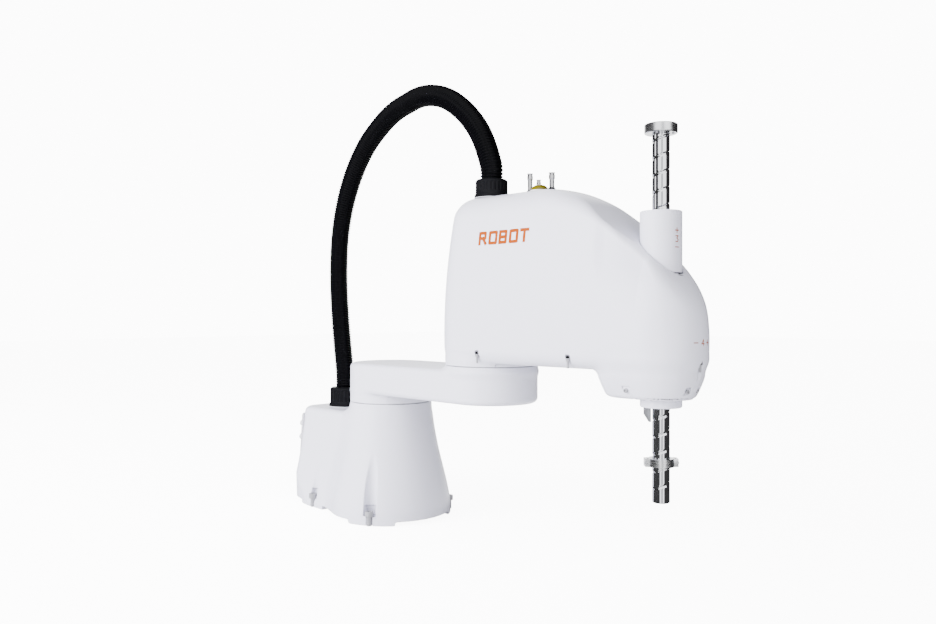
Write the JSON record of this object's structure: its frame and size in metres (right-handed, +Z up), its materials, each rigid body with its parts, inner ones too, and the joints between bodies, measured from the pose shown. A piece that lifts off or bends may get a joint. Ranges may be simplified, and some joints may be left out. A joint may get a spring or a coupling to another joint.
{
  "type": "scara robot arm",
  "caption": "Table-mounted SCARA robot arm: cast base, two horizontal links, corrugated cable hose and a hollow splined quill that turns and slides through a sloped cover.",
  "frame": {"origin": "on the first (J1) axis, at the mounting face", "axes": "+X along both links at rest, from the first axis towards the quill; +Z up; the mounting face points to -Z"},
  "size_m": [0.7677, 0.19, 0.6607],
  "materials": {
    "white_paint": "satin powder coat, faint orange peel",
    "white_cover": "painted moulded cover, soft gloss",
    "cover_plate": "plain steel sheet",
    "panel": "fine texture",
    "connector_plastic": "moulded",
    "connector_shell": "plated",
    "fitting_plastic": "translucent white moulding",
    "bolt_steel": "plated",
    "gland_plastic": "moulded polyamide",
    "hose": "corrugated polyamide, slight sheen",
    "motor_black": "satin",
    "gear_steel": "ground",
    "bearing_steel": "ground and polished",
    "pulley_aluminium": "turned",
    "belt_rubber": "matt",
    "lamp_lens": "coloured clear lens",
    "shaft_chrome": "ground and polished, grooved",
    "turned_aluminium": "turned, fine lines",
    "stop_steel": "plated sheet"
  },
  "bodies": {
    "base": {"base_casting": "white_paint", "base_bottom_cover": "cover_plate", "rear_panel": "panel", "power_connector": "connector_plastic", "signal_connector": "connector_shell", "base_air_fitting_1": "fitting_plastic", "base_air_fitting_2": "fitting_plastic", "mounting_bolt_1": "bolt_steel", "mounting_bolt_2": "bolt_steel", "mounting_bolt_3": "bolt_steel", "mounting_bolt_4": "bolt_steel", "base_hose_gland": "gland_plastic", "j1_motor": "motor_black", "j1_circular_spline": "gear_steel", "j1_bearing_outer": "bearing_steel", "conduit_lower": "hose"},
    "j1_rotor": {"j1_wave_generator": "gear_steel"},
    "arm1": {"arm1_casting": "white_paint", "j1_flexspline": "gear_steel", "j1_bearing_inner": "bearing_steel", "j2_flexspline": "gear_steel", "j2_bearing_inner": "bearing_steel"},
    "j2_rotor": {"j2_wave_generator": "gear_steel"},
    "arm2": {"arm2_frame": "white_paint", "arm2_cover": "white_cover", "cover_screw_1": "bolt_steel", "cover_screw_2": "bolt_steel", "cover_screw_3": "bolt_steel", "cover_screw_4": "bolt_steel", "cover_screw_5": "bolt_steel", "arm_hose_gland": "gland_plastic", "conduit_upper": "hose", "j2_motor": "motor_black", "j2_circular_spline": "gear_steel", "j2_bearing_outer": "bearing_steel", "shaft_sleeve": "white_paint", "lower_collar": "white_paint", "shaft_stop_tab": "stop_steel", "spline_bearing": "bearing_steel", "ball_nut_bearing": "bearing_steel", "j3_brake": "motor_black", "j3_motor": "motor_black", "j4_motor": "motor_black", "motor_bracket": "pulley_aluminium", "j3_belt": "belt_rubber", "j4_belt": "belt_rubber", "lamp_base": "fitting_plastic", "lamp_dome": "lamp_lens", "arm_air_fitting_1": "fitting_plastic", "arm_air_fitting_2": "fitting_plastic", "arm_air_fitting_3": "fitting_plastic"},
    "quill": {"spline_nut": "gear_steel", "j4_pulley": "pulley_aluminium"},
    "lift_nut": {"ball_nut": "gear_steel", "j3_pulley": "pulley_aluminium"},
    "j3_rotor": {"j3_motor_pulley": "pulley_aluminium"},
    "j4_rotor": {"j4_motor_pulley": "pulley_aluminium"},
    "shaft": {"spline_shaft": "shaft_chrome", "shaft_cap": "turned_aluminium", "stop_ring": "turned_aluminium"}
  },
  "joints": [
    {"name": "j1_turn", "type": "hinge", "parent": "base", "child": "arm1", "pos_m": [0, 0, 0.1767], "axis": [0, 0, 1], "range_deg": [-132, 132], "deforming": ["conduit_lower"]},
    {"name": "j2_turn", "type": "hinge", "parent": "arm1", "child": "arm2", "pos_m": [0.225, 0, 0.2436], "axis": [0, 0, -1], "range_deg": [-141, 141], "deforming": ["conduit_upper"]},
    {"name": "j4_turn", "type": "hinge", "parent": "arm2", "child": "quill", "pos_m": [0.5, 0, 0.2174], "axis": [0, 0, 1], "range_deg": [-360, 360]},
    {"name": "j3_lift", "type": "slide", "parent": "quill", "child": "shaft", "axis": [0, 0, 1], "range_m": [-0.16, 0.04]},
    {"name": "lift_nut_spin", "type": "hinge", "parent": "quill", "child": "lift_nut", "pos_m": [0.5, 0, 0.2174], "axis": [0, 0, 1], "continuous": true},
    {"name": "j3_motor_spin", "type": "hinge", "parent": "arm2", "child": "j3_rotor", "pos_m": [0.395, -0.024, 0.346], "axis": [0, 0, 1], "continuous": true},
    {"name": "j4_motor_spin", "type": "hinge", "parent": "arm2", "child": "j4_rotor", "pos_m": [0.395, 0.024, 0.3], "axis": [0, 0, 1], "continuous": true},
    {"name": "j1_motor_spin", "type": "hinge", "parent": "base", "child": "j1_rotor", "pos_m": [0, 0, 0.14], "axis": [0, 0, 1], "continuous": true},
    {"name": "j2_motor_spin", "type": "hinge", "parent": "arm2", "child": "j2_rotor", "pos_m": [0.225, 0, 0.28], "axis": [0, 0, -1], "continuous": true}
  ],
  "couplings": [
    {"joint": "lift_nut_spin", "follows": "j3_lift", "rad_per_m": -314.16},
    {"joint": "j3_motor_spin", "follows": "j3_lift", "rad_per_m": -753.98},
    {"joint": "j4_motor_spin", "follows": "j4_turn", "ratio": 2.4},
    {"joint": "j1_motor_spin", "follows": "j1_turn", "ratio": -50},
    {"joint": "j2_motor_spin", "follows": "j2_turn", "ratio": 50}
  ]
}
